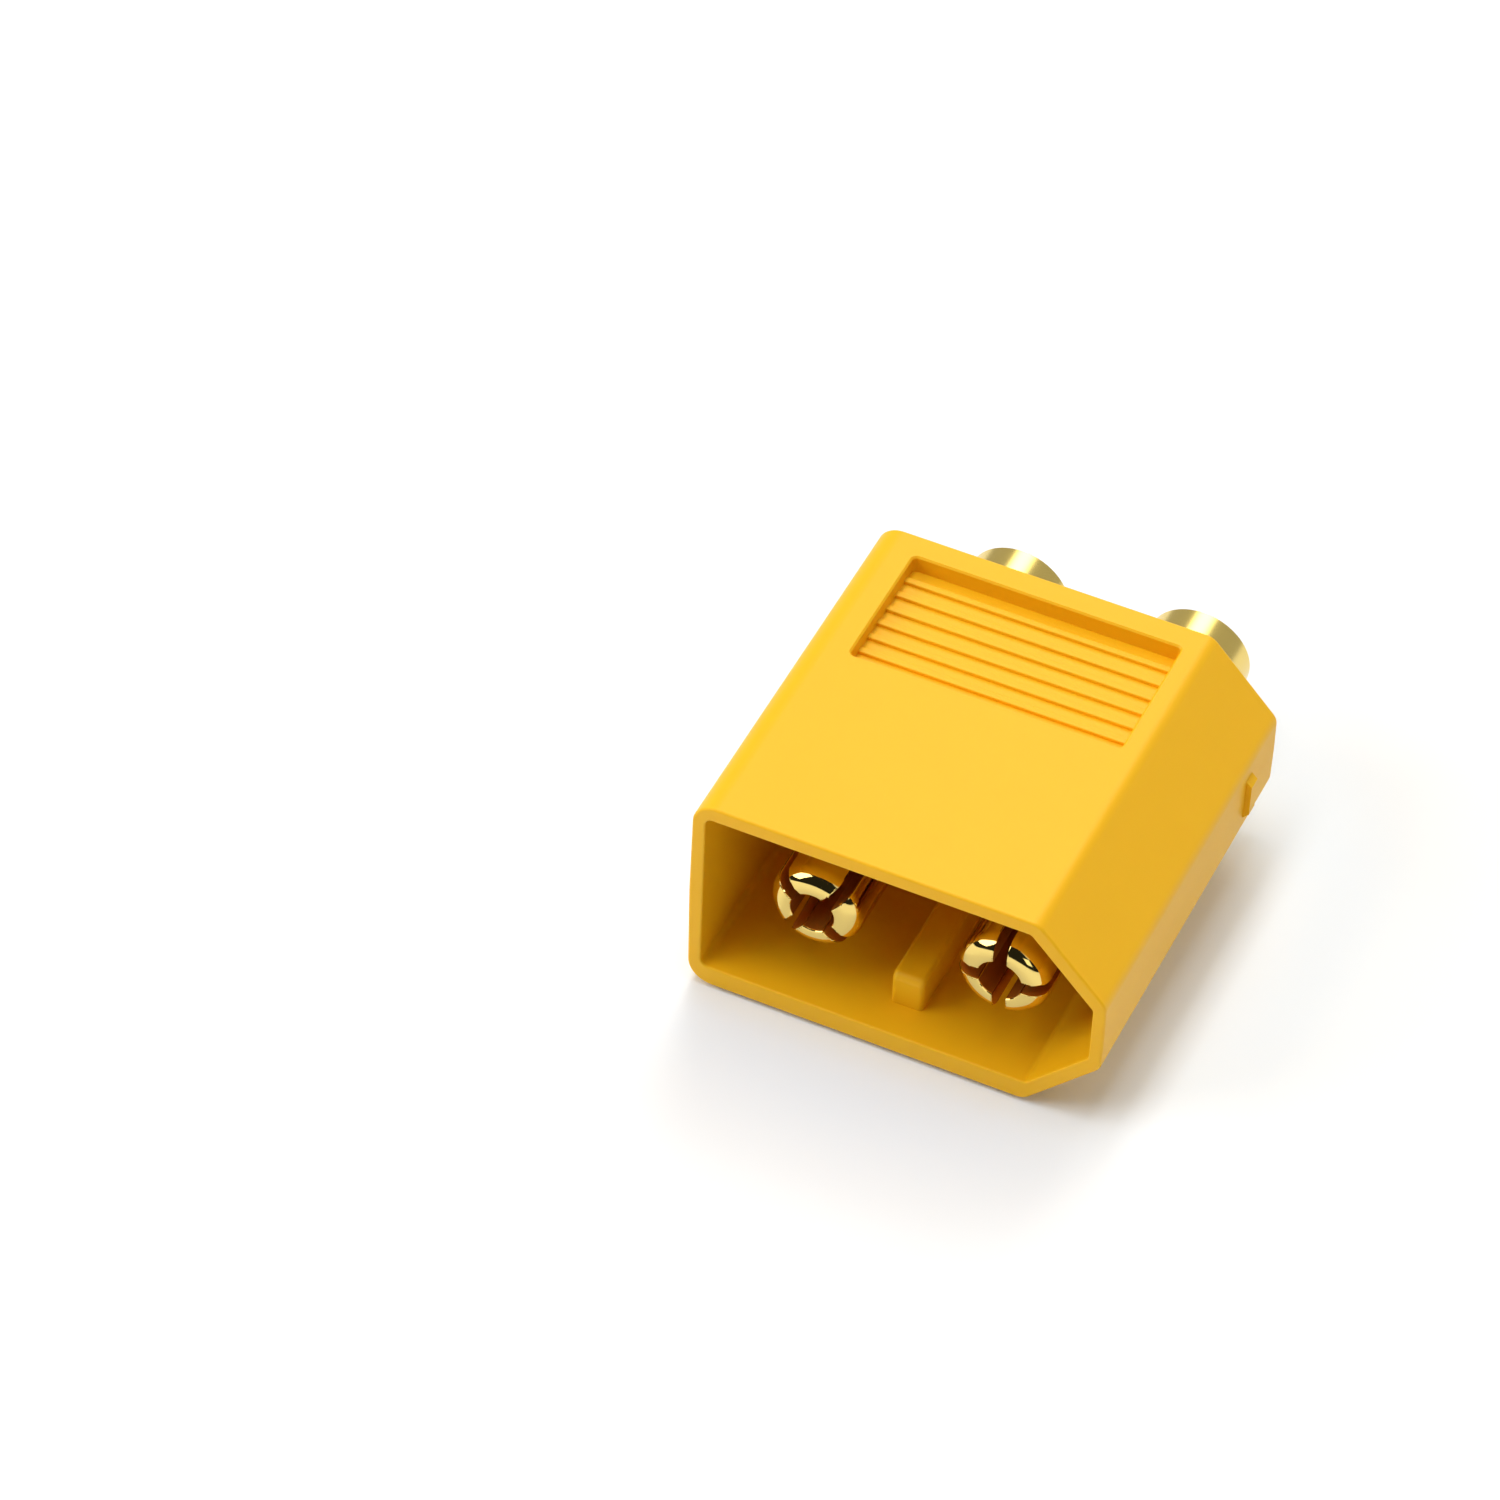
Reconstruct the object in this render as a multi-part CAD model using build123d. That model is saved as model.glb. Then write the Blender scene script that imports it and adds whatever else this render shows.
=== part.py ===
from build123d import *
from math import hypot, radians, tan
import os

# A two-pole power connector, the half with the pins. A moulded housing has an open shroud in front
# and a solid block behind, and two turned contacts stand in the block. Sizes are in millimetres.
# +X runs from the positive contact to the negative one, +Y from the mouth to the solder cups, +Z up.
# The origin is the middle of the footprint, on the surface that the part lies on.

# Housing, outside
housing_width = 15.9
housing_height = 8.92
housing_length = 15.9
square_corner_radius = 0.95
cut_width = 2.75  # the two cut corners of the negative side, along X
cut_height = 2.9  # the same, along Z
cut_edge_radius = 0.6
side_draft = 0.7  # degrees, above and below the parting line at mid-height
outer_edge_radius = 0.1  # around the mouth and the rear face

# Block behind the shroud, which holds the contacts
block_length = 7.1

# Shroud
positive_wall = 0.55
negative_wall = 0.5
top_wall = 0.62
bottom_wall = 0.87
cut_wall = 0.6
cavity_square_radius = 0.3
cavity_cut_radius = 0.25
mouth_inner_radius = 0.07

# Key rib on the floor of the shroud
key_width = 1.25
key_height = 1.45
key_setback = 1.45  # behind the mouth
key_nose_radius = 0.3
key_edge_radius = 0.18

# Grip recess, one in the top and one in the underside of the block
grip_depth = 0.72
grip_positive_margin = 1.85
grip_cut_margin = 0.8  # to the edge of the cut corner
grip_front_margin = 0.4  # behind the end of the shroud's cavity
grip_rear_margin = 1.05
grip_corner_radius = 0.2
grip_lip_chamfer = 0.07
grip_rib_count = 6
grip_rib_width = 0.28
grip_rib_height = 0.14
grip_rib_edge_radius = 0.05

# Nub on each narrow side, which holds a clip-on rear cap
nub_height = 1.8
nub_length = 0.55
nub_reach = 0.22
nub_rear_margin = 2.35
nub_root = 0.3  # how far it reaches into the wall

# Contacts
contact_pitch = 7.2
seat_clearance = 0.01  # all round, between a contact and the moulding
tip_setback = 0.92  # behind the mouth
pin_diameter = 3.5
nose_radius = 0.88
tip_bore_diameter = 1.66
tip_bore_depth = 6.6
slot_width = 0.5
slot_depth = 5.5
body_diameter = 4.0
groove_count = 2
groove_width = 0.9
groove_depth = 0.25
cup_reach = 3.58  # behind the rear face
cup_bore_diameter = 3.3
cup_bore_depth = 5.0
cup_rim_chamfer = 0.18
cup_mouth_chamfer = 0.12
drill_angle = 118  # degrees, the point that a drill leaves at the end of a bore

# How far each contact is turned about its own axis, in degrees from upright towards +X
contact_turns = {"contact_positive": -5, "contact_negative": 43}

# Worked out from the sizes above
overall_length = housing_length + cup_reach
mouth_y = -overall_length / 2
rear_y = mouth_y + housing_length
block_y = rear_y - block_length
tip_y = mouth_y + tip_setback
cup_end_y = rear_y + cup_reach
half_width = housing_width / 2
axis_height = housing_height / 2
contact_places = {"contact_positive": -contact_pitch / 2, "contact_negative": contact_pitch / 2}


def prism(section, front, back):
    """Push a section, drawn in X and Z, from one place along Y to another."""
    return extrude(Plane.XZ.offset(-back) * section, amount=back - front)


def keyed_section(left, right, bottom, top, low_cut, high_cut, lean, square_radius, cut_radius):
    """Section with two rounded corners on the left and two cut ones on the right."""
    middle = (bottom + top) / 2
    outline = Polyline(
        (left, middle),
        (left + lean * (middle - bottom), bottom),
        (right - low_cut[0], bottom),
        (right - lean * (middle - bottom - low_cut[1]), bottom + low_cut[1]),
        (right, middle),
        (right - lean * (top - middle - high_cut[1]), top - high_cut[1]),
        (right - high_cut[0], top),
        (left + lean * (top - middle), top),
        close=True,
    )
    section = make_face(outline)
    square = [corner for corner in section.vertices() if corner.X < 0 and corner.Y != middle]
    section = fillet(square, square_radius)
    cut = [corner for corner in section.vertices() if corner.X > 0 and corner.Y != middle]
    return fillet(cut, cut_radius)


def cavity_cut(side_wall, flat_wall):
    """Width and height of a cavity corner's cut that leaves the wall there cut_wall thick."""
    share = 1 + cut_wall * hypot(1 / cut_width, 1 / cut_height)
    along_x = cut_width * (share - flat_wall / cut_height) - side_wall
    along_z = cut_height * (share - side_wall / cut_width) - flat_wall
    return along_x, along_z


def shell():
    """The outer form, hollow from the mouth to the block."""
    lean = tan(radians(side_draft))
    cut = (cut_width, cut_height)
    outside = keyed_section(
        -half_width, half_width, 0, housing_height,
        cut, cut, lean, square_corner_radius, cut_edge_radius,
    )
    body = prism(outside, mouth_y, rear_y)
    ends = body.faces().filter_by(Axis.Y)
    body = fillet(ends.edges(), outer_edge_radius)
    inside = keyed_section(
        positive_wall - half_width, half_width - negative_wall, bottom_wall, housing_height - top_wall,
        cavity_cut(negative_wall, bottom_wall), cavity_cut(negative_wall, top_wall),
        0, cavity_square_radius, cavity_cut_radius,
    )
    body -= prism(inside, mouth_y, block_y)
    rim = body.faces().filter_by(Axis.Y).sort_by(Axis.Y)[0]
    return fillet(rim.inner_wires()[0].edges(), mouth_inner_radius)


def key_rib():
    """Rib on the shroud's floor that lets the other half in only the right way up."""
    length = block_y - mouth_y - key_setback
    rib = Pos(0, block_y - length / 2, bottom_wall + key_height / 2) * Box(key_width, length, key_height)
    front = rib.faces().sort_by(Axis.Y)[0]
    rib = fillet(front.edges().sort_by(Axis.Z)[-1], key_nose_radius)
    sides = rib.faces().filter_by(Axis.X).edges()
    bare = [edge for edge in sides if edge.center().Z > bottom_wall and edge.center().Y < block_y]
    return fillet(bare, key_edge_radius)


def grip_tool():
    """What comes out of the top for the grip recess: a shallow pocket, less the ribs on its floor."""
    left = grip_positive_margin - half_width
    right = half_width - cut_width - grip_cut_margin
    front = block_y + grip_front_margin
    back = rear_y - grip_rear_margin
    floor = housing_height - grip_depth
    plan = RectangleRounded(right - left, back - front, grip_corner_radius)
    pocket = extrude(Pos((left + right) / 2, (front + back) / 2, floor) * plan, amount=grip_depth)
    rib = Rectangle(grip_rib_width, grip_rib_height, align=(Align.MIN, Align.MIN))
    rib = fillet(rib.vertices().group_by(Axis.Y)[-1], grip_rib_edge_radius)
    pitch = (back - front) / (grip_rib_count + 1)
    for number in range(1, grip_rib_count + 1):
        place = Plane((left, front + pitch * number, floor), x_dir=(0, 1, 0), z_dir=(1, 0, 0))
        pocket -= extrude(place * rib, amount=right - left)
    return pocket


def nub():
    """Low block on the negative side, with its two ends sloped."""
    low = axis_height - nub_height / 2
    high = axis_height + nub_height / 2
    outline = Polyline(
        (half_width - nub_root, low),
        (half_width, low),
        (half_width + nub_reach, low + nub_reach),
        (half_width + nub_reach, high - nub_reach),
        (half_width, high),
        (half_width - nub_root, high),
        close=True,
    )
    back = rear_y - nub_rear_margin
    return prism(make_face(outline), back - nub_length, back)


def grooved_side(spare):
    """Side of a contact's body along the block, as radius and Y, with its retaining grooves."""
    radius = body_diameter / 2 + spare
    points = [(radius, block_y)]
    for number in range(1, groove_count + 1):
        middle = block_y + block_length * number / (groove_count + 1)
        front = middle - groove_width / 2 + spare
        back = middle + groove_width / 2 - spare
        points += [(radius, front), (radius - groove_depth, front), (radius - groove_depth, back), (radius, back)]
    return points + [(radius, rear_y)]


def turned(outline):
    """Turn a half-section, drawn as radius and Y, into a round piece on the Y axis."""
    return revolve(make_face(outline), Axis.Y)


def contact():
    """Turned contact on the Y axis: pin split in four and bored, grooved body, solder cup."""
    pin = pin_diameter / 2
    body = body_diameter / 2
    ring = pin - nose_radius
    tip_bore = tip_bore_diameter / 2
    cup_bore = cup_bore_diameter / 2
    drill_slope = 1 / tan(radians(drill_angle / 2))
    tip_bore_y = tip_y + tip_bore_depth
    cup_bore_y = cup_end_y - cup_bore_depth
    nose = TangentArc((pin, tip_y + nose_radius), (ring, tip_y), tangent=(0, -1))
    tip = Polyline(
        (ring, tip_y),
        (tip_bore, tip_y),
        (tip_bore, tip_bore_y),
        (0, tip_bore_y + tip_bore * drill_slope),
        (0, cup_bore_y - cup_bore * drill_slope),
        (cup_bore, cup_bore_y),
        (cup_bore, cup_end_y - cup_mouth_chamfer),
        (cup_bore + cup_mouth_chamfer, cup_end_y),
        (body - cup_rim_chamfer, cup_end_y),
        (body, cup_end_y - cup_rim_chamfer),
    )
    side = Polyline(
        (body, cup_end_y - cup_rim_chamfer),
        *reversed(grooved_side(0)),
        (pin, block_y),
        (pin, tip_y + nose_radius),
    )
    piece = turned([nose, tip, side])
    slot = Pos(0, tip_y + slot_depth / 2, 0) * Box(slot_width, slot_depth, pin_diameter)
    for angle in (45, 135):
        piece -= Rot(0, angle, 0) * slot
    return piece


def seat():
    """The space that a contact takes up in the block."""
    outline = Polyline((0, block_y), *grooved_side(seat_clearance), (0, rear_y), close=True)
    return turned(outline)


def housing():
    """The moulding: shell, grip recesses, key rib, nubs and the contacts' seats."""
    body = shell()
    middle = Plane.XY.offset(axis_height)
    grip = grip_tool()
    body -= [grip, mirror(grip, about=middle)]
    flats = body.faces().filter_by(Axis.Z).sort_by(Axis.Z)
    lips = flats[0].inner_wires()[0].edges() + flats[-1].inner_wires()[0].edges()
    body = chamfer(lips, grip_lip_chamfer)
    body += [key_rib(), nub(), mirror(nub(), about=Plane.YZ)]
    for place in contact_places.values():
        body -= Pos(place, 0, axis_height) * seat()
    return body


parts = {"housing": housing()}
for name, place in contact_places.items():
    parts[name] = Pos(place, 0, axis_height) * Rot(0, contact_turns[name], 0) * contact()

os.makedirs("parts", exist_ok=True)
for name, solid in parts.items():
    export_step(solid, f"parts/{name}.step")
    print(name, "volume", round(solid.volume, 3), "mm3")
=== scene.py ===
"""Looks of a two-pole power connector plug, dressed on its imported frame.

A satin yellow nylon housing holds two gold-plated contacts, each a split pin in front and a solder
cup behind. Everything is in metres in the part's own frame: +X from the positive contact to the
negative one, +Y from the mouth to the cups, +Z up.
"""

from math import cos, pi, radians, sin, tan

import bmesh
import bpy
from mathutils import Matrix, Vector


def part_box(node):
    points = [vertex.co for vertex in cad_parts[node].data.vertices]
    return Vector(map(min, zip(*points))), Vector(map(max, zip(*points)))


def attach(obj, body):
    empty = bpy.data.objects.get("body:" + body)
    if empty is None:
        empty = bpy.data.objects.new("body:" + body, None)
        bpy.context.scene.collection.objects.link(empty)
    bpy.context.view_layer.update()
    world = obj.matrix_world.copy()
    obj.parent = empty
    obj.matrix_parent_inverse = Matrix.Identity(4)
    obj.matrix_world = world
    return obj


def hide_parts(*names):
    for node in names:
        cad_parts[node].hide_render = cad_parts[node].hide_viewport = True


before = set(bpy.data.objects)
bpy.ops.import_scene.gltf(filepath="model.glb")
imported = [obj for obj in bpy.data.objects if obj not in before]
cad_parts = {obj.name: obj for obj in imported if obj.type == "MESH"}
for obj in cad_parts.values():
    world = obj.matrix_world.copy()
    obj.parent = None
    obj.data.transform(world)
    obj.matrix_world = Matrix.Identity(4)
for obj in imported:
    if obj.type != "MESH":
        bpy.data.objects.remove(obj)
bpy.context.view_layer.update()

MM = 0.001
scene = bpy.context.scene

# Places in the frame, read from its boxes
housing_low, housing_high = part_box("housing")
mouth_y = housing_low.y
rear_y = housing_high.y
mid_height = housing_high.z / 2
block_length = 7.1 * MM  # the solid stretch behind the shroud
block_y = rear_y - block_length

# Photograph's view: a pinhole camera, found from the housing's edges, with its angles in degrees.
# It is set by a view point in the mouth's plane, on the centre line and almost at mid-height.
photo_size = 1500
focal_length_px = 6495.2
camera_azimuth = 23.393
camera_elevation = 45.215
camera_roll = 2.419
view_point_depth = 4.4 * MM  # below the top
view_point_px = (894.0, 963.3)
px_per_mm = 28.657  # at the view point
sensor_width = 36
clip_range = (0.01, 10)

# Nylon: how wide and how deep the marks in its surface are
flow_width = 2.4 * MM
sink_width = 3.5 * MM
sink_depth = 0.012 * MM
grain_width = 0.07 * MM
grain_depth = 0.0015 * MM
streak_width = 0.13 * MM
streak_depth = 0.012 * MM
streak_stretch = 25  # a streak's length in widths
parting_step = 0.02 * MM
scatter_depth = 0.3 * MM  # how far light spreads inside

# Stretches where the nylon's surface differs: boxes, as their middles and half-sizes
recess_middle = (-0.85 * MM, rear_y - 3.8 * MM, mid_height)
recess_reach = (5.4 * MM, 3.2 * MM, 4.1 * MM)
parting_middle = (0, 0, mid_height)
parting_reach = (9 * MM, 11 * MM, 0.025 * MM)
cavity_middle = (0, 0, mid_height)
cavity_reach = (7.42 * MM, 11 * MM, 3.8 * MM)

# Gold plate: how wide and how deep the marks in its surface are
ring_pitch = 0.314 * MM
ring_depth = 0.0001 * MM
smear_width = 0.9 * MM
saw_mark_width = 0.05 * MM
wave_turn = 20  # radians that the wave texture turns through in one unit

# Contacts, as turned
pin_radius = 1.75 * MM
nose_radius = 0.68 * MM  # fuller than the node's, as the photograph shows it
tip_bore_radius = 0.83 * MM
tip_bore_depth = 6.6 * MM
body_radius = 2.0 * MM
groove_depth = 0.25 * MM
groove_width = 0.9 * MM
groove_count = 2
cup_bore_radius = 1.65 * MM
cup_bore_depth = 5.0 * MM
drill_angle = 118  # degrees, at the point of a bore
rim_chamfer = 0.18 * MM
mouth_chamfer = 0.12 * MM
turning_steps = 128
nose_steps = 14
pole_merge = 0.0005 * MM  # joins the points that fall together on the axis

# Contacts, as sawn and deburred at their tips
slot_width = 0.5 * MM
slot_depth = 5.5 * MM
slot_angles = (45, 135)  # degrees from upright, before a contact's own turn
contact_turns = {"contact_positive": -5, "contact_negative": 43}  # about its own axis
sliver_merge = 0.003 * MM  # joins the points that the saw leaves close together
edge_break = 0.05 * MM  # what the deburring takes off each sharp edge
edge_angle = 40  # degrees, from which on an edge counts as sharp
crease_angle = 28  # degrees, from which on an edge is shaded as a crease
cut_slack = 0.012 * MM  # how near to a cut's plane the middle of a cut face lies
cut_facing = 0.98  # the least cosine between such a face's normal and the plane's

# Studio: soft boxes round the part, each with its azimuth, elevation, half-width and half-height
# in degrees, and its brightness, where 1 is as bright as white paper
lamp_distance = 0.5
soft_boxes = {
    "overhead": (180, 87, 9, 10, 5.2),
    "overhead_left": (-90, 79, 28, 6, 5.6),
    "left": (-120, 32, 18, 18, 3.7),
    "right": (112, 45, 18, 14, 0.8),
    "right_high": (60, 63, 28, 8, 1.0),
    "right_small": (141, 20, 8, 9, 1.4),
}

# Studio's walls: a dark room, a pale backdrop behind the part and a glow on it
room_level = 0.02
backdrop_level = 0.5
backdrop_colour = "#FFFDF2"
backdrop_top = (50, 58)  # degrees of elevation, between which it fades out
backdrop_front = (-0.1, 0.4)  # a direction's share of +Y, between which it fades in
glow_azimuth = -9
glow_elevation = 46
glow_reach = 19  # degrees from its middle
glow_level = 5.2

# Paper floor
floor_size = 3.0
floor_gap = 0.15 * MM
floor_shade = (0.93, 0.93, 0.93, 1.0)
# painted tint: the paper is a cooler white round the part, against the yellow light the part
# bounces onto its shadow
painted_cool_tint = (0.88, 0.935, 1.0, 1.0)
painted_tint_reach = (11 * MM, 17 * MM)  # distances from the origin, between which it fades out


def linear(hex_colour):
    """An sRGB hex colour as linear red, green, blue and alpha."""
    values = [int(hex_colour[i:i + 2], 16) / 255 for i in (1, 3, 5)]
    return [v / 12.92 if v <= 0.04045 else ((v + 0.055) / 1.055) ** 2.4 for v in values] + [1.0]


def add_node(tree, kind, inputs=None, **settings):
    """Add a node with its settings; inputs are values, or the sockets that feed them."""
    node = tree.nodes.new(kind)
    for name, value in settings.items():
        setattr(node, name, value)
    for name, value in (inputs or {}).items():
        if isinstance(value, bpy.types.NodeSocket):
            tree.links.new(value, node.inputs[name])
        else:
            node.inputs[name].default_value = value
    return node


def new_material(name):
    """An empty material and its tree."""
    material = bpy.data.materials.new(name)
    material.use_nodes = True
    material.node_tree.nodes.clear()
    return material, material.node_tree


def within_box(tree, place, middle, reach):
    """One inside a box and nought outside it, from its middle and its half-sizes."""
    axes = add_node(tree, "ShaderNodeSeparateXYZ", {"Vector": place})
    inside = 1.0
    for axis in range(3):
        near = add_node(
            tree, "ShaderNodeMath",
            {0: axes.outputs[axis], 1: middle[axis], 2: reach[axis]},
            operation="COMPARE",
        )
        both = add_node(
            tree, "ShaderNodeMath", {0: inside, 1: near.outputs[0]}, operation="MULTIPLY",
        )
        inside = both.outputs[0]
    return inside


# Injection-moulded nylon, satin. The mould's spark-eroded face leaves a fine even grain, which
# keeps highlights wide and soft, and thick stretches sink a little as they cool. The grip recess
# shows the mould's milling as faint streaks along its ribs, and the mould's two halves leave a
# faint line round the outside at mid-height.
def moulded_nylon():
    material, tree = new_material("injection_moulded_nylon")
    place = add_node(tree, "ShaderNodeTexCoord").outputs["Object"]
    flow = add_node(
        tree, "ShaderNodeTexNoise",
        {"Vector": place, "Scale": 1 / flow_width, "Detail": 3.0},
    )
    colour = add_node(
        tree, "ShaderNodeMix",
        {"Factor": flow.outputs["Fac"], "A": linear("#F1B60F"), "B": linear("#F4B911")},
        data_type="RGBA",
    )
    grain = add_node(
        tree, "ShaderNodeTexNoise",
        {"Vector": place, "Scale": 1 / grain_width, "Detail": 2.0, "Roughness": 0.6},
    )
    gloss = add_node(
        tree, "ShaderNodeMapRange",
        {"Value": grain.outputs["Fac"], "To Min": 0.4, "To Max": 0.5},
    )
    sink = add_node(
        tree, "ShaderNodeTexNoise",
        {"Vector": place, "Scale": 1 / sink_width, "Detail": 1.0},
    )
    waves = add_node(
        tree, "ShaderNodeBump",
        {"Height": sink.outputs["Fac"], "Strength": 1.0, "Distance": sink_depth},
    )
    along_ribs = add_node(
        tree, "ShaderNodeVectorMath",
        {0: place, 1: (1 / streak_stretch, 1, 1)},
        operation="MULTIPLY",
    )
    milled = add_node(
        tree, "ShaderNodeTexNoise",
        {"Vector": along_ribs.outputs["Vector"], "Scale": 1 / streak_width, "Detail": 2.0},
    )
    in_recess = within_box(tree, place, recess_middle, recess_reach)
    streaks = add_node(
        tree, "ShaderNodeBump",
        {"Height": milled.outputs["Fac"], "Strength": in_recess, "Distance": streak_depth,
         "Normal": waves.outputs["Normal"]},
    )
    at_parting = within_box(tree, place, parting_middle, parting_reach)
    in_cavity = within_box(tree, place, cavity_middle, cavity_reach)
    line = add_node(
        tree, "ShaderNodeMath", {0: at_parting, 1: in_cavity},
        operation="SUBTRACT", use_clamp=True,
    )
    seam = add_node(
        tree, "ShaderNodeBump",
        {"Height": line.outputs[0], "Strength": 1.0, "Distance": parting_step,
         "Normal": streaks.outputs["Normal"]},
    )
    relief = add_node(
        tree, "ShaderNodeBump",
        {"Height": grain.outputs["Fac"], "Strength": 1.0, "Distance": grain_depth,
         "Normal": seam.outputs["Normal"]},
    )
    shader = add_node(
        tree, "ShaderNodeBsdfPrincipled",
        {"Base Color": colour.outputs["Result"], "Roughness": gloss.outputs["Result"],
         "IOR": 1.53, "Specular IOR Level": 0.24,
         "Subsurface Weight": 0.15, "Subsurface Radius": (1.0, 0.5, 0.12),
         "Subsurface Scale": scatter_depth, "Normal": relief.outputs["Normal"]},
    )
    add_node(tree, "ShaderNodeOutputMaterial", {"Surface": shader.outputs["BSDF"]})
    return material


# Brass, turned on a lathe and gold plated, bright. The tool leaves rings far finer than show here,
# so they are drawn 0.3 mm apart, and only just bend the reflections. From the block to the cups the
# turning is coarser, and the shine duller.
def gold_plate():
    material, tree = new_material("turned_brass_gold_plated")
    place = add_node(tree, "ShaderNodeTexCoord").outputs["Object"]
    rings = add_node(
        tree, "ShaderNodeTexWave",
        {"Vector": place, "Scale": 2 * pi / (wave_turn * ring_pitch), "Distortion": 0.4,
         "Detail": 1.0},
        bands_direction="Y",
    )
    relief = add_node(
        tree, "ShaderNodeBump",
        {"Height": rings.outputs["Fac"], "Strength": 1.0, "Distance": ring_depth},
    )
    smear = add_node(
        tree, "ShaderNodeTexNoise",
        {"Vector": place, "Scale": 1 / smear_width, "Detail": 2.0},
    )
    polish = add_node(
        tree, "ShaderNodeMapRange",
        {"Value": smear.outputs["Fac"], "To Min": 0.05, "To Max": 0.08},
    )
    axes = add_node(tree, "ShaderNodeSeparateXYZ", {"Vector": place})
    coarser = add_node(
        tree, "ShaderNodeMapRange",
        {"Value": axes.outputs["Y"], "From Min": block_y, "From Max": rear_y, "To Max": 0.15},
    )
    gloss = add_node(
        tree, "ShaderNodeMath",
        {0: polish.outputs["Result"], 1: coarser.outputs["Result"]},
        operation="ADD",
    )
    shader = add_node(
        tree, "ShaderNodeBsdfPrincipled",
        {"Base Color": linear("#E8CD78"), "Metallic": 1.0, "Roughness": gloss.outputs[0],
         "Normal": relief.outputs["Normal"]},
    )
    add_node(tree, "ShaderNodeOutputMaterial", {"Surface": shader.outputs["BSDF"]})
    return material


# The same brass where the saw and the drill cut it, plated after. Their marks are too fine to show
# one by one, and they blur what the faces mirror. The colour here is also a darker, browner gold,
# which is painted shade, so that the slots and bores look dark and even.
def sawn_gold_with_painted_shade():
    material, tree = new_material("sawn_brass_gold_plated_painted_shade")
    place = add_node(tree, "ShaderNodeTexCoord").outputs["Object"]
    marks = add_node(
        tree, "ShaderNodeTexNoise",
        {"Vector": place, "Scale": 1 / saw_mark_width, "Detail": 2.0},
    )
    gloss = add_node(
        tree, "ShaderNodeMapRange",
        {"Value": marks.outputs["Fac"], "To Min": 0.42, "To Max": 0.58},
    )
    shader = add_node(
        tree, "ShaderNodeBsdfPrincipled",
        # painted shade: the cut faces' gold is darker and browner than the plate, to darken the
        # slots and the bore
        {"Base Color": linear("#C47F2A"), "Metallic": 1.0, "Roughness": gloss.outputs["Result"]},
    )
    add_node(tree, "ShaderNodeOutputMaterial", {"Surface": shader.outputs["BSDF"]})
    return material


# White paper, which renders just white where nothing shades it. Round the part its colour is
# painted a cooler white, to cancel the yellow light that the part throws onto its shadow there.
def white_paper():
    material, tree = new_material("white_paper")
    place = add_node(tree, "ShaderNodeTexCoord").outputs["Object"]
    away = add_node(tree, "ShaderNodeVectorMath", {0: place}, operation="LENGTH")
    fade = add_node(
        tree, "ShaderNodeMapRange",
        {"Value": away.outputs["Value"], "From Min": painted_tint_reach[0], "From Max": painted_tint_reach[1]},
        interpolation_type="SMOOTHSTEP",
    )
    shade = add_node(
        tree, "ShaderNodeMix",
        {"Factor": fade.outputs["Result"], "A": painted_cool_tint, "B": floor_shade},
        data_type="RGBA",
    )
    paper = add_node(tree, "ShaderNodeBsdfDiffuse", {"Color": shade.outputs["Result"]})
    add_node(tree, "ShaderNodeOutputMaterial", {"Surface": paper.outputs["BSDF"]})
    return material


def contact_outline(tip_y, cup_end_y):
    """Half-section of a contact as radius and Y, from the tip bore's point to the cup bore's."""
    slope = 1 / tan(radians(drill_angle / 2))
    points = [
        (0, tip_y + tip_bore_depth + tip_bore_radius * slope),
        (tip_bore_radius, tip_y + tip_bore_depth),
        (tip_bore_radius, tip_y + edge_break),
        (tip_bore_radius + edge_break, tip_y),
    ]
    for step in range(nose_steps + 1):
        turn = pi / 2 * (1 - step / nose_steps)
        radius = pin_radius - nose_radius * (1 - cos(turn))
        points.append((radius, tip_y + nose_radius * (1 - sin(turn))))
    points += [(pin_radius, block_y), (body_radius, block_y)]
    for number in range(1, groove_count + 1):
        middle = block_y + block_length * number / (groove_count + 1)
        points += [
            (body_radius, middle - groove_width / 2),
            (body_radius - groove_depth, middle - groove_width / 2),
            (body_radius - groove_depth, middle + groove_width / 2),
            (body_radius, middle + groove_width / 2),
        ]
    cup_bottom_y = cup_end_y - cup_bore_depth
    points += [
        (body_radius, cup_end_y - rim_chamfer),
        (body_radius - rim_chamfer, cup_end_y),
        (cup_bore_radius + mouth_chamfer, cup_end_y),
        (cup_bore_radius, cup_end_y - mouth_chamfer),
        (cup_bore_radius, cup_bottom_y),
        (0, cup_bottom_y - cup_bore_radius * slope),
    ]
    return points


def put_in_order(shape):
    """Sort a bmesh's elements by place: operators leave them in another order each run."""
    place = {vert: rank for rank, vert in enumerate(sorted(shape.verts, key=lambda v: v.co[:]))}
    shape.verts.sort(key=place.get)
    for elements in (shape.edges, shape.faces):
        ranked = sorted(elements, key=lambda element: sorted(place[v] for v in element.verts))
        order = {element: rank for rank, element in enumerate(ranked)}
        elements.sort(key=order.get)


def turned_contact(axis, tip_y, cup_end_y):
    """Contact spun whole from its half-section, before it is sawn."""
    shape = bmesh.new()
    corners = [shape.verts.new((radius, y, 0)) for radius, y in contact_outline(tip_y, cup_end_y)]
    edges = [shape.edges.new(pair) for pair in zip(corners, corners[1:])]
    bmesh.ops.spin(
        shape, geom=corners + edges, cent=(0, 0, 0), axis=(0, 1, 0), angle=2 * pi,
        steps=turning_steps, use_merge=True,
    )
    bmesh.ops.remove_doubles(shape, verts=shape.verts, dist=pole_merge)
    bmesh.ops.recalc_face_normals(shape, faces=shape.faces)
    bmesh.ops.translate(shape, verts=shape.verts, vec=axis)
    put_in_order(shape)
    return shape


def new_object(name, shape):
    """Make a bmesh into an object of the scene, with its place in its mesh."""
    mesh = bpy.data.meshes.new(name)
    shape.to_mesh(mesh)
    shape.free()
    made = bpy.data.objects.new(name, mesh)
    scene.collection.objects.link(made)
    return made


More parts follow.
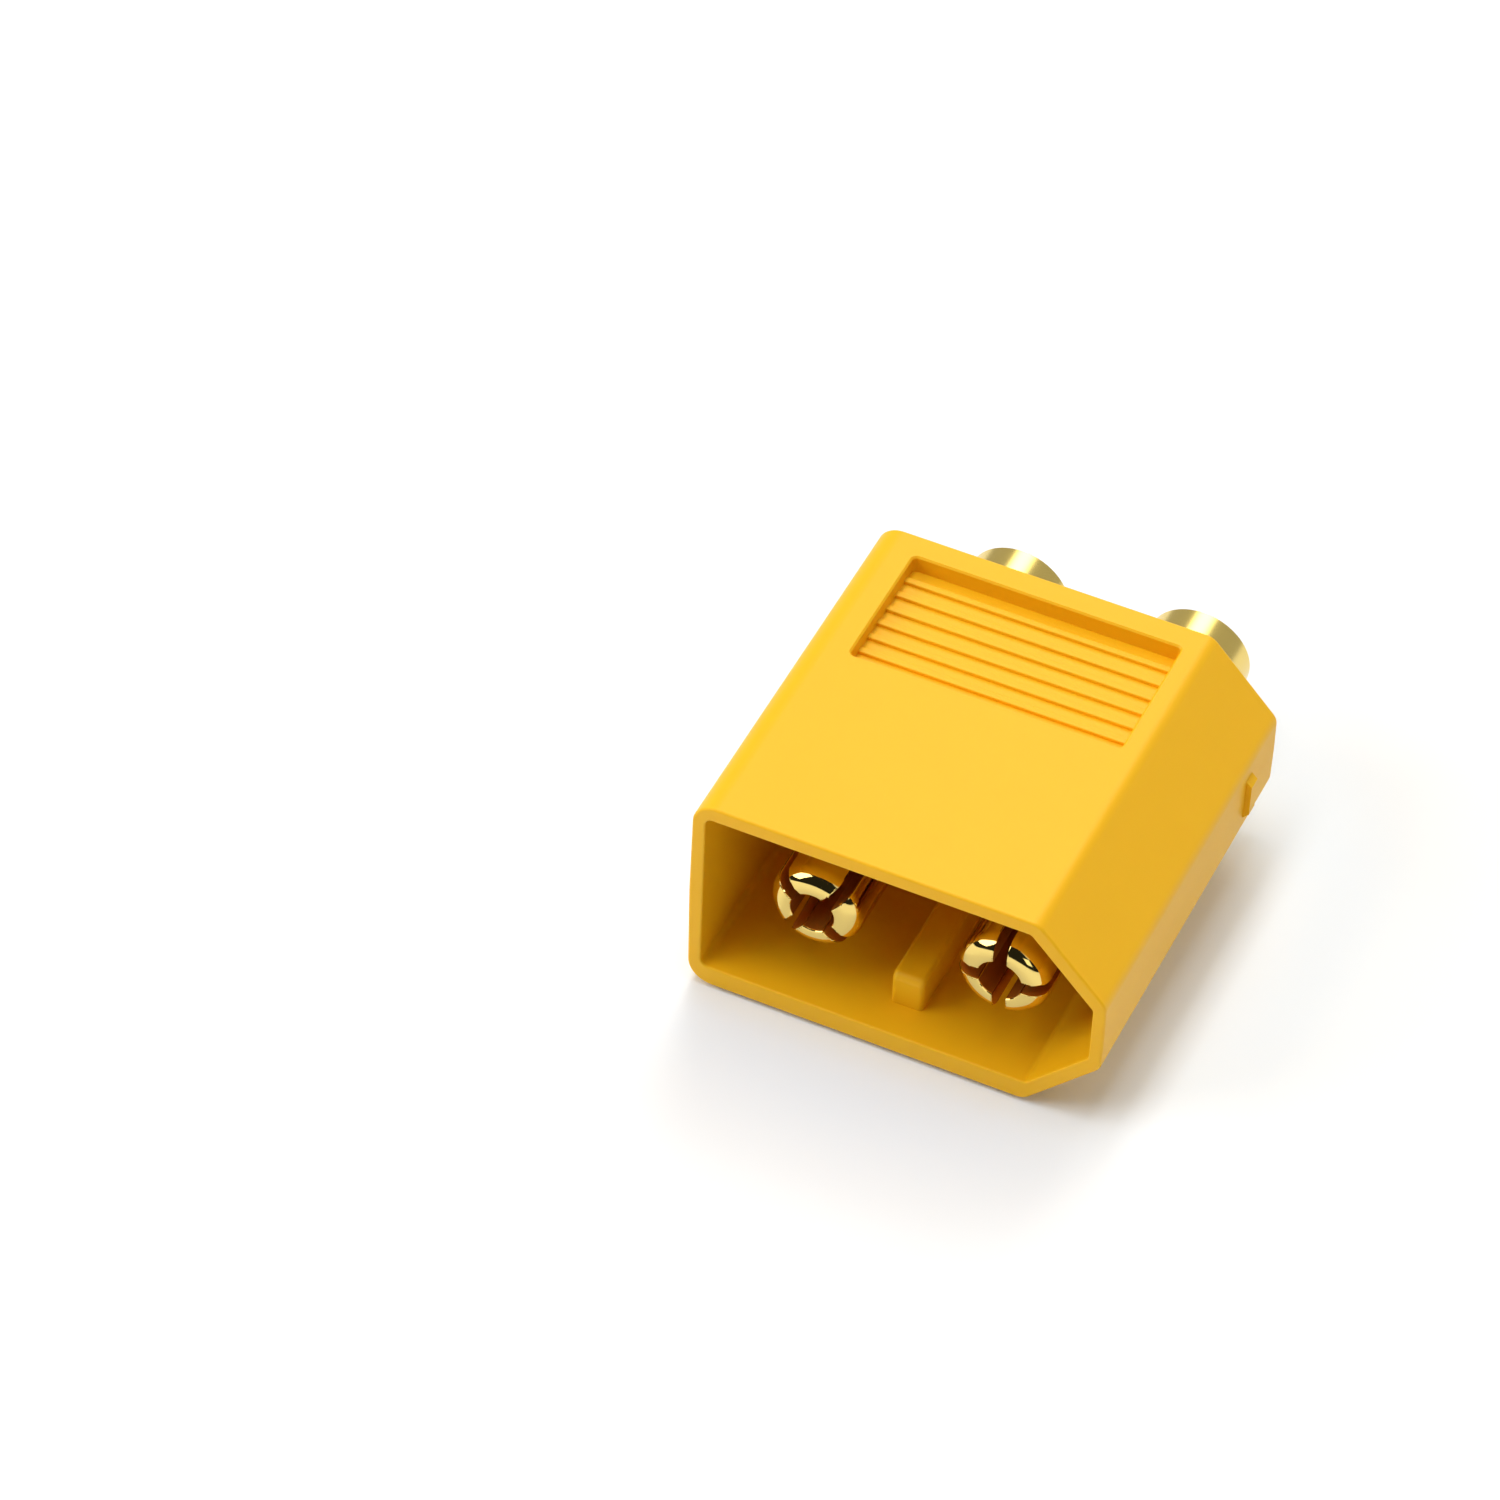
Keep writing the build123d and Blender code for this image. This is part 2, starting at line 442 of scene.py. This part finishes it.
def slot_cutter(axis, tip_y, angle):
    """Block as thick as a slot is wide, which reaches across the pin and in as deep as the slot."""
    shape = bmesh.new()
    bmesh.ops.create_cube(shape, size=1)
    size = (slot_width, 2 * slot_depth, 4 * pin_radius)
    bmesh.ops.scale(shape, verts=shape.verts, vec=size)
    turn = Matrix.Rotation(radians(angle), 3, "Y")
    bmesh.ops.rotate(shape, verts=shape.verts, matrix=turn)
    bmesh.ops.translate(shape, verts=shape.verts, vec=(axis.x, tip_y, axis.z))
    return new_object(f"slot_{angle}", shape)


def saw(piece, cutters):
    """Take the cutters out of a piece for good, and delete them."""
    for cutter in cutters:
        cut = piece.modifiers.new("saw", "BOOLEAN")
        cut.object = cutter
        cut.operation = "DIFFERENCE"
        cut.solver = "EXACT"
    bpy.context.view_layer.update()
    sawn = piece.evaluated_get(bpy.context.evaluated_depsgraph_get())
    mesh = bpy.data.meshes.new_from_object(sawn)
    piece.modifiers.clear()
    piece.data = mesh
    for cutter in cutters:
        bpy.data.objects.remove(cutter)


def deburr(mesh, tip_y):
    """Take a little off the edges that the saw and the drill left round the pin's tip."""
    shape = bmesh.new()
    shape.from_mesh(mesh)
    bmesh.ops.remove_doubles(shape, verts=shape.verts, dist=sliver_merge)
    bmesh.ops.recalc_face_normals(shape, faces=shape.faces)
    sharp = [
        edge for edge in shape.edges
        if edge.is_manifold and edge.calc_face_angle() > radians(edge_angle)
        and max(v.co.y for v in edge.verts) < tip_y + slot_depth + edge_break
    ]
    bmesh.ops.bevel(
        shape, geom=sharp, offset=edge_break, offset_type="OFFSET", affect="EDGES", segments=2,
        profile=0.5, material=-1, clamp_overlap=False,
    )
    for face in shape.faces:
        face.smooth = True
    shape.to_mesh(mesh)
    shape.free()
    mesh.set_sharp_from_angle(angle=radians(crease_angle))


def mark_cut_faces(mesh, axis, tip_y, angles, material):
    """Give the slots' walls and ends and the tip's bore the material of a cut face, whose darker
    colour is painted shade.
    """
    mesh.materials.append(material)
    slot_end_y = tip_y + slot_depth
    bore_end_y = tip_y + tip_bore_depth + tip_bore_radius
    across = [Vector((cos(radians(angle)), 0, -sin(radians(angle)))) for angle in angles]
    for face in mesh.polygons:
        place = face.center - axis
        bored = place.y < bore_end_y and place.xz.length < tip_bore_radius + cut_slack / 2
        wall = place.y < slot_end_y + cut_slack and any(
            abs(abs(place.dot(way)) - slot_width / 2) < cut_slack
            and abs(face.normal.dot(way)) > cut_facing
            for way in across
        )
        end = abs(place.y - slot_end_y) < cut_slack and abs(face.normal.y) > cut_facing
        if bored or wall or end:
            face.material_index = 1


def gold_contact(node, material, cut_material_painted_shade):
    """Contact turned whole, sawn in four at its tip and deburred there, in place of its node."""
    low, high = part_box(node)
    axis = Vector(((low.x + high.x) / 2, 0, (low.z + high.z) / 2))
    angles = [angle + contact_turns[node] for angle in slot_angles]
    piece = new_object(f"gold_{node}", turned_contact(axis, low.y, high.y))
    piece.data.materials.append(material)
    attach(piece, "root")
    saw(piece, [slot_cutter(axis, low.y, angle) for angle in angles])
    deburr(piece.data, low.y)
    mark_cut_faces(piece.data, axis, low.y, angles, cut_material_painted_shade)
    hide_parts(node)


def photo_view():
    """Camera at the photograph's viewing angle, set by where the view point lands."""
    azimuth, elevation, roll = (
        radians(angle) for angle in (camera_azimuth, camera_elevation, camera_roll)
    )
    back = Vector((sin(azimuth) * cos(elevation), -cos(azimuth) * cos(elevation), sin(elevation)))
    level = Vector((cos(azimuth), sin(azimuth), 0))
    rise = back.cross(level)
    right = cos(roll) * level + sin(roll) * rise
    up = cos(roll) * rise - sin(roll) * level
    across = (view_point_px[0] - photo_size / 2) / px_per_mm * MM
    down = (view_point_px[1] - photo_size / 2) / px_per_mm * MM
    away = focal_length_px / px_per_mm * MM
    view_point = Vector((0, mouth_y, housing_high.z - view_point_depth))
    place = view_point - across * right + down * up + away * back
    turn = Matrix((right, up, back)).transposed().to_4x4()
    camera = bpy.data.objects.new("photo_camera", bpy.data.cameras.new("photo_camera"))
    scene.collection.objects.link(camera)
    camera.matrix_world = Matrix.Translation(place) @ turn
    camera.data.sensor_width = sensor_width
    camera.data.lens = focal_length_px / photo_size * sensor_width
    camera.data.clip_start, camera.data.clip_end = clip_range
    scene.camera = camera


def direction(azimuth, elevation):
    """Unit vector at an azimuth from +Y towards +X and an elevation, in degrees."""
    a, e = radians(azimuth), radians(elevation)
    return Vector((sin(a) * cos(e), cos(a) * cos(e), sin(e)))


def soft_box(name, azimuth, elevation, half_width, half_height, brightness):
    """Soft box that faces the part from a direction."""
    lamp = bpy.data.objects.new(name, bpy.data.lights.new(name, "AREA"))
    scene.collection.objects.link(lamp)
    towards = direction(azimuth, elevation)
    facing = towards.to_track_quat("Z", "Y").to_matrix().to_4x4()
    lamp.matrix_world = Matrix.Translation(towards * lamp_distance) @ facing
    lamp.data.shape = "RECTANGLE"
    lamp.data.size = 2 * lamp_distance * tan(radians(half_width))
    lamp.data.size_y = 2 * lamp_distance * tan(radians(half_height))
    lamp.data.energy = brightness * pi * lamp.data.size * lamp.data.size_y


def studio_world():
    """Dark studio with a pale backdrop behind the part and a soft glow on it."""
    world = bpy.data.worlds.new("studio")
    scene.world = world
    world.use_nodes = True
    tree = world.node_tree
    tree.nodes.clear()
    look = add_node(tree, "ShaderNodeTexCoord").outputs["Generated"]
    axes = add_node(tree, "ShaderNodeSeparateXYZ", {"Vector": look})
    below_top = add_node(
        tree, "ShaderNodeMapRange",
        {"Value": axes.outputs["Z"], "From Min": sin(radians(backdrop_top[1])),
         "From Max": sin(radians(backdrop_top[0]))},
        interpolation_type="SMOOTHSTEP",
    )
    behind = add_node(
        tree, "ShaderNodeMapRange",
        {"Value": axes.outputs["Y"], "From Min": backdrop_front[0], "From Max": backdrop_front[1]},
        interpolation_type="SMOOTHSTEP",
    )
    backdrop = add_node(
        tree, "ShaderNodeMath",
        {0: below_top.outputs["Result"], 1: behind.outputs["Result"]},
        operation="MULTIPLY",
    ).outputs[0]
    room = add_node(
        tree, "ShaderNodeMapRange",
        {"Value": backdrop, "To Min": room_level, "To Max": backdrop_level},
    )
    toward_glow = add_node(
        tree, "ShaderNodeVectorMath",
        {0: look, 1: direction(glow_azimuth, glow_elevation)},
        operation="DOT_PRODUCT",
    )
    glow = add_node(
        tree, "ShaderNodeMapRange",
        {"Value": toward_glow.outputs["Value"], "From Min": cos(radians(glow_reach)),
         "To Max": glow_level},
        interpolation_type="SMOOTHSTEP",
    )
    level = add_node(
        tree, "ShaderNodeMath",
        {0: room.outputs["Result"], 1: glow.outputs["Result"]},
        operation="ADD",
    )
    tint = add_node(
        tree, "ShaderNodeMix",
        {"Factor": backdrop, "A": linear("#FFFFFF"), "B": linear(backdrop_colour)},
        data_type="RGBA",
    )
    background = add_node(
        tree, "ShaderNodeBackground",
        {"Color": tint.outputs["Result"], "Strength": level.outputs[0]},
    )
    add_node(tree, "ShaderNodeOutputWorld", {"Surface": background.outputs["Background"]})


def paper_floor():
    """Paper under the part, which is never quite flat and so stands a hair's breadth off it."""
    shape = bmesh.new()
    bmesh.ops.create_grid(shape, x_segments=1, y_segments=1, size=floor_size / 2)
    bmesh.ops.translate(shape, verts=shape.verts, vec=(0, 0, -floor_gap))
    floor = new_object("floor", shape)
    floor.data.materials.append(white_paper())


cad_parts["housing"].material_slots[0].material = moulded_nylon()
gold = gold_plate()
sawn_gold_painted_shade = sawn_gold_with_painted_shade()
for node in contact_turns:
    gold_contact(node, gold, sawn_gold_painted_shade)

photo_view()
studio_world()
paper_floor()
for name, settings in soft_boxes.items():
    soft_box(name, *settings)

scene.view_settings.view_transform = "Standard"
